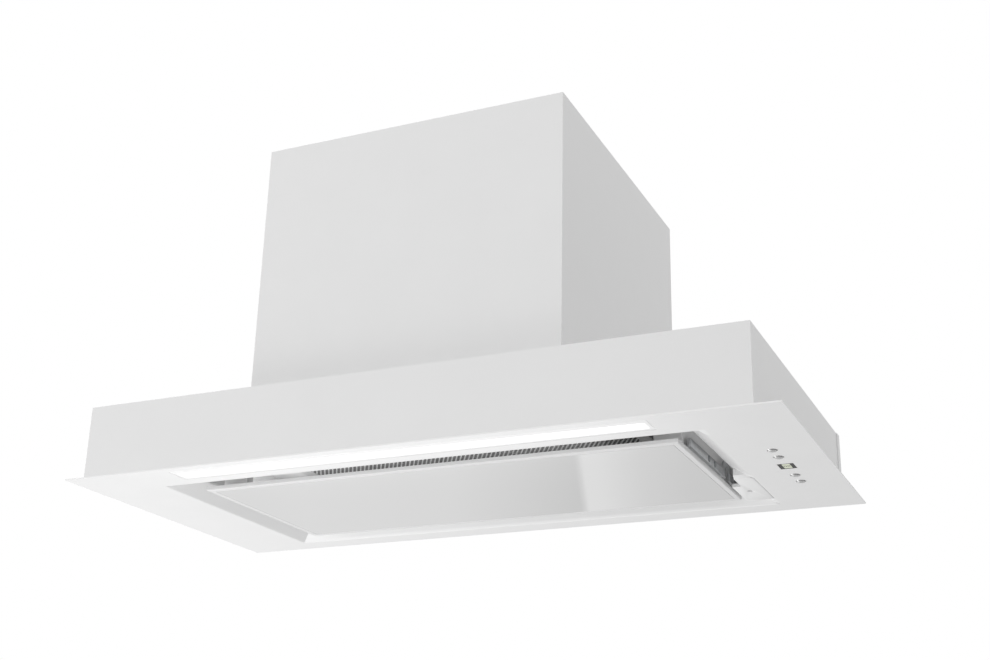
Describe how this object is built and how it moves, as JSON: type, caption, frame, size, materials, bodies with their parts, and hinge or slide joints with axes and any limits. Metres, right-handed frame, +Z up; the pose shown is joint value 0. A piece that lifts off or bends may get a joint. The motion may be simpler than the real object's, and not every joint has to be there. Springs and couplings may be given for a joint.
{
  "type": "built-in range hood",
  "caption": "White built-in range hood: flanged tray with a tilting glass inlet panel, front light strip, side buttons and display, and a square motor box with a top duct collar.",
  "frame": {"origin": "middle of the flange plate's upper face, in the plane that seats against the cabinet's underside", "axes": "+X right as seen by the cook, +Y towards the wall, +Z up"},
  "size_m": [0.9, 0.435, 0.4739],
  "materials": {
    "white_enamel": "satin white enamel",
    "white_glass": "glossy, white from behind",
    "white_plastic": "satin white",
    "opal": "opal, lit from behind",
    "chrome": "polished",
    "zinc_steel": "zinc plated",
    "aluminium": "mill finish",
    "filter_mesh": "dark woven layers",
    "black_plastic": "fine grain",
    "grey_plastic": "fine grain",
    "rubber": "matt",
    "board": "solder mask",
    "dark_window": "smoked",
    "display": "lit segments field"
  },
  "bodies": {
    "hood": {"flange_plate": "white_enamel", "front_panel": "white_enamel", "left_side_panel": "white_enamel", "right_side_panel": "white_enamel", "rear_panel": "white_enamel", "top_panel": "white_enamel", "plenum_surround": "white_enamel", "filter_tray": "white_enamel", "side_baffles": "white_enamel", "filter_frame": "aluminium", "filter_grille": "aluminium", "filter_pad": "filter_mesh", "led_diffuser": "opal", "led_channel": "aluminium", "led_board": "board", "led_driver": "black_plastic", "control_housing": "grey_plastic", "control_board": "board", "tact_switches": "black_plastic", "button_rings": "chrome", "display_window": "dark_window", "display_module": "display", "control_cable": "rubber", "hinge_brackets": "zinc_steel", "hinge_pins": "zinc_steel", "hinge_cover": "white_plastic", "hinge_cover_screw": "white_enamel", "panel_catches": "grey_plastic", "motor_box_wrapper": "white_enamel", "motor_box_rear_cover": "white_enamel", "motor_box_top": "white_enamel", "cable_gland": "black_plastic", "power_box": "grey_plastic", "capacitor": "grey_plastic", "case_screws": "zinc_steel", "outlet_gasket": "rubber", "outlet_collar": "black_plastic", "damper_axle": "zinc_steel", "scroll_housing": "grey_plastic", "motor": "aluminium", "motor_bracket": "zinc_steel"},
    "panel": {"panel_frame": "white_enamel", "panel_glass": "white_glass", "panel_strikers": "zinc_steel", "panel_rails": "zinc_steel", "hinge_arm_left": "zinc_steel", "hinge_arm_right": "zinc_steel", "hinge_rivets": "zinc_steel"},
    "button_1": {"button_1": "chrome"},
    "button_2": {"button_2": "chrome"},
    "button_3": {"button_3": "chrome"},
    "button_4": {"button_4": "chrome"},
    "filter_latch": {"filter_latch": "black_plastic"},
    "damper_front": {"damper_flap_front": "black_plastic"},
    "damper_rear": {"damper_flap_rear": "black_plastic"},
    "fan_wheel": {"impeller": "grey_plastic", "impeller_rings": "grey_plastic", "impeller_blades": "grey_plastic", "motor_shaft": "zinc_steel", "impeller_nut": "zinc_steel"}
  },
  "joints": [
    {"name": "panel_tilt", "type": "hinge", "parent": "hood", "child": "panel", "pos_m": [0, 0.134, 0.0125], "axis": [1, 0, 0], "range_deg": [0, 80]},
    {"name": "button_1_press", "type": "slide", "parent": "hood", "child": "button_1", "axis": [0, 0, 1], "range_m": [0, 0.001], "stiffness_N_per_m": 400, "springref_m": -0.002},
    {"name": "button_2_press", "type": "slide", "parent": "hood", "child": "button_2", "axis": [0, 0, 1], "range_m": [0, 0.001], "stiffness_N_per_m": 400, "springref_m": -0.002},
    {"name": "button_3_press", "type": "slide", "parent": "hood", "child": "button_3", "axis": [0, 0, 1], "range_m": [0, 0.001], "stiffness_N_per_m": 400, "springref_m": -0.002},
    {"name": "button_4_press", "type": "slide", "parent": "hood", "child": "button_4", "axis": [0, 0, 1], "range_m": [0, 0.001], "stiffness_N_per_m": 400, "springref_m": -0.002},
    {"name": "filter_latch_slide", "type": "slide", "parent": "hood", "child": "filter_latch", "axis": [0, 1, 0], "range_m": [0, 0.004], "stiffness_N_per_m": 300, "springref_m": -0.004},
    {"name": "damper_front_swing", "type": "hinge", "parent": "hood", "child": "damper_front", "pos_m": [0, 0.012, 0.44], "axis": [-1, 0, 0], "range_deg": [0, 75]},
    {"name": "damper_rear_swing", "type": "hinge", "parent": "hood", "child": "damper_rear", "pos_m": [0, 0.012, 0.44], "axis": [1, 0, 0], "range_deg": [0, 75]},
    {"name": "fan_spin", "type": "hinge", "parent": "hood", "child": "fan_wheel", "pos_m": [0, -0.0585, 0.25], "axis": [1, 0, 0], "continuous": true}
  ]
}
